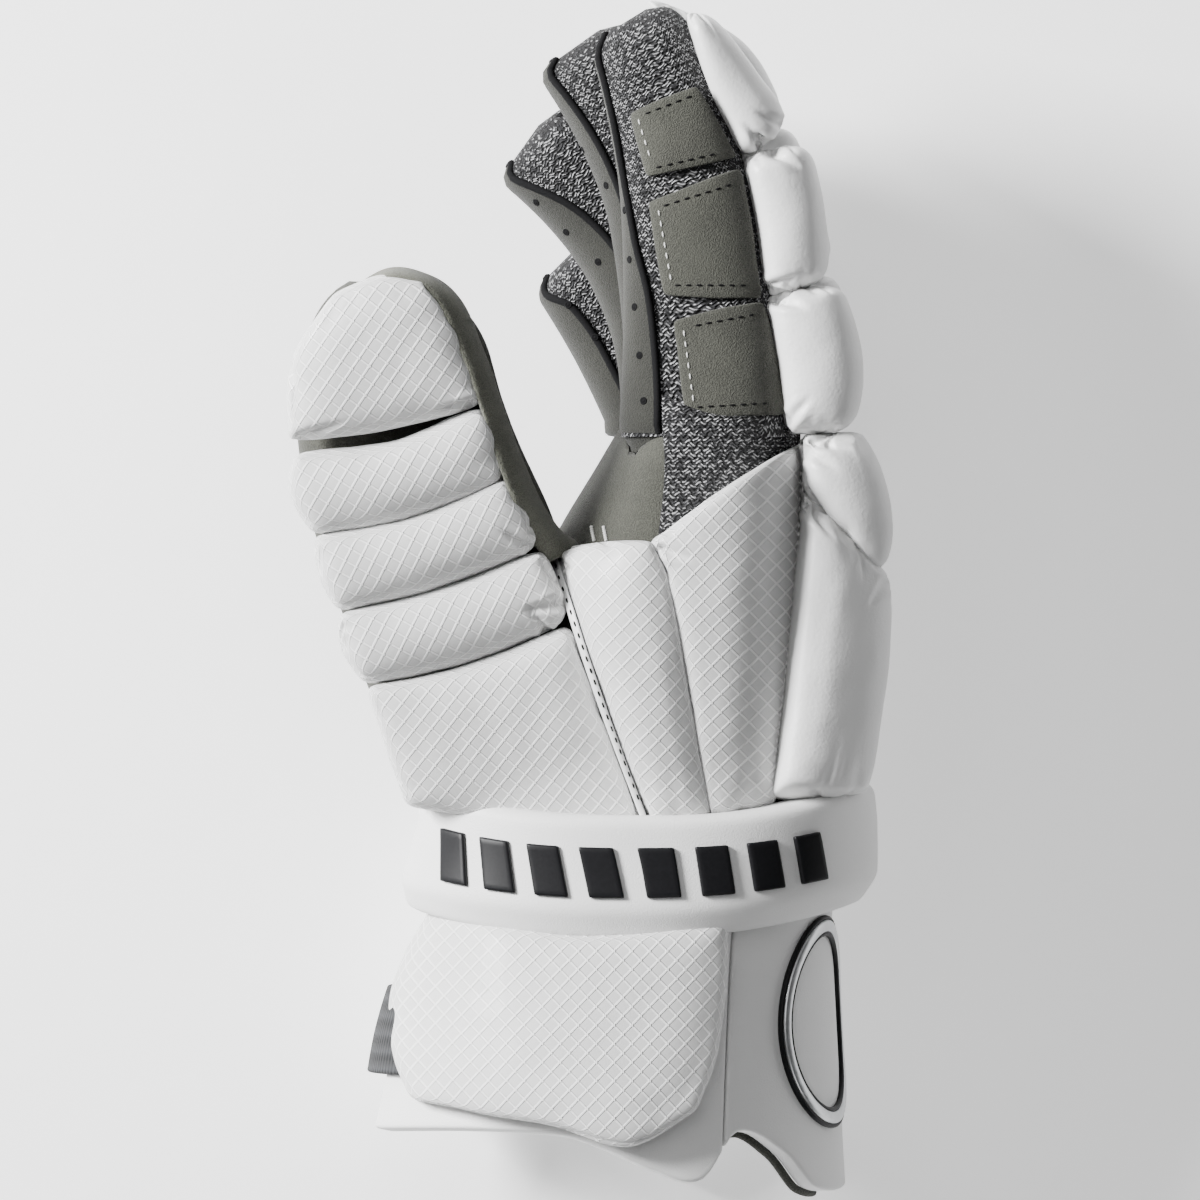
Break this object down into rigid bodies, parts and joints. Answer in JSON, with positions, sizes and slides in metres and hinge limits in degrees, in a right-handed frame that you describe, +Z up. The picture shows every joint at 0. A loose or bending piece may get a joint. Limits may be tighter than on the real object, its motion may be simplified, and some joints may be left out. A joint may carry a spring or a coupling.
{
  "type": "lacrosse glove",
  "caption": "Padded right-hand lacrosse glove lying on its little-finger side, with white rolls on the fingers and thumb, grey suede palm, moulded wrist band and open flared cuff",
  "frame": {"origin": "bottom centre of the bounding box, on the floor that the glove lies on with its little-finger side down", "axes": "+Z up towards the thumb side, +Y from the cuff to the fingertips, +X towards the back of the hand"},
  "size_m": [0.163, 0.3346, 0.1327],
  "materials": {
    "suede": "grey synthetic suede, matte",
    "knit_mesh": "heathered grey knit mesh",
    "smooth_white": "smooth white coated fabric over foam",
    "grid_cloth": "white fabric with a raised diagonal grid",
    "moulded_white": "smooth moulded white foam",
    "gloss_black": "raised glossy black",
    "webbing": "ribbed dark grey elastic",
    "silver_ring": "satin silver"
  },
  "bodies": {
    "root": {"hand_shell": "suede", "thumb_shell": "suede", "cuff_lining": "suede", "index_palm_strip": "suede", "middle_palm_strip": "suede", "ring_palm_strip": "suede", "pinky_palm_strip": "suede", "index_side_patch_1": "suede", "index_side_patch_2": "suede", "index_side_patch_3": "suede", "index_shell": "knit_mesh", "middle_shell": "knit_mesh", "ring_shell": "knit_mesh", "pinky_shell": "knit_mesh", "radial_mesh_gusset": "knit_mesh", "index_roll_1": "smooth_white", "index_roll_2": "smooth_white", "index_roll_3": "smooth_white", "middle_roll_1": "smooth_white", "middle_roll_2": "smooth_white", "middle_roll_3": "smooth_white", "ring_roll_1": "smooth_white", "ring_roll_2": "smooth_white", "ring_roll_3": "smooth_white", "pinky_roll_1": "smooth_white", "pinky_roll_2": "smooth_white", "index_knuckle_roll": "smooth_white", "middle_knuckle_roll": "smooth_white", "ring_knuckle_roll": "smooth_white", "pinky_knuckle_roll": "smooth_white", "back_pad_radial": "smooth_white", "back_pad_centre": "smooth_white", "back_pad_ulnar": "smooth_white", "thumb_cap": "grid_cloth", "thumb_roll_1": "grid_cloth", "thumb_roll_2": "grid_cloth", "thumb_roll_3": "grid_cloth", "thumb_base_pad": "grid_cloth", "radial_wedge_pad_1": "grid_cloth", "radial_wedge_pad_2": "grid_cloth", "ulnar_wedge_pad_1": "grid_cloth", "ulnar_wedge_pad_2": "grid_cloth", "cuff_radial_pad": "grid_cloth", "cuff_ulnar_pad": "grid_cloth", "wrist_band": "moulded_white", "cuff_radial_panel": "moulded_white", "cuff_shield": "moulded_white", "cuff_ulnar_panel": "moulded_white", "band_bar_1": "gloss_black", "band_bar_2": "gloss_black", "band_bar_3": "gloss_black", "band_bar_4": "gloss_black", "band_bar_5": "gloss_black", "band_bar_6": "gloss_black", "band_bar_7": "gloss_black", "band_bar_8": "gloss_black", "palm_strap": "webbing", "badge_ring": "silver_ring"}
  },
  "joints": []
}
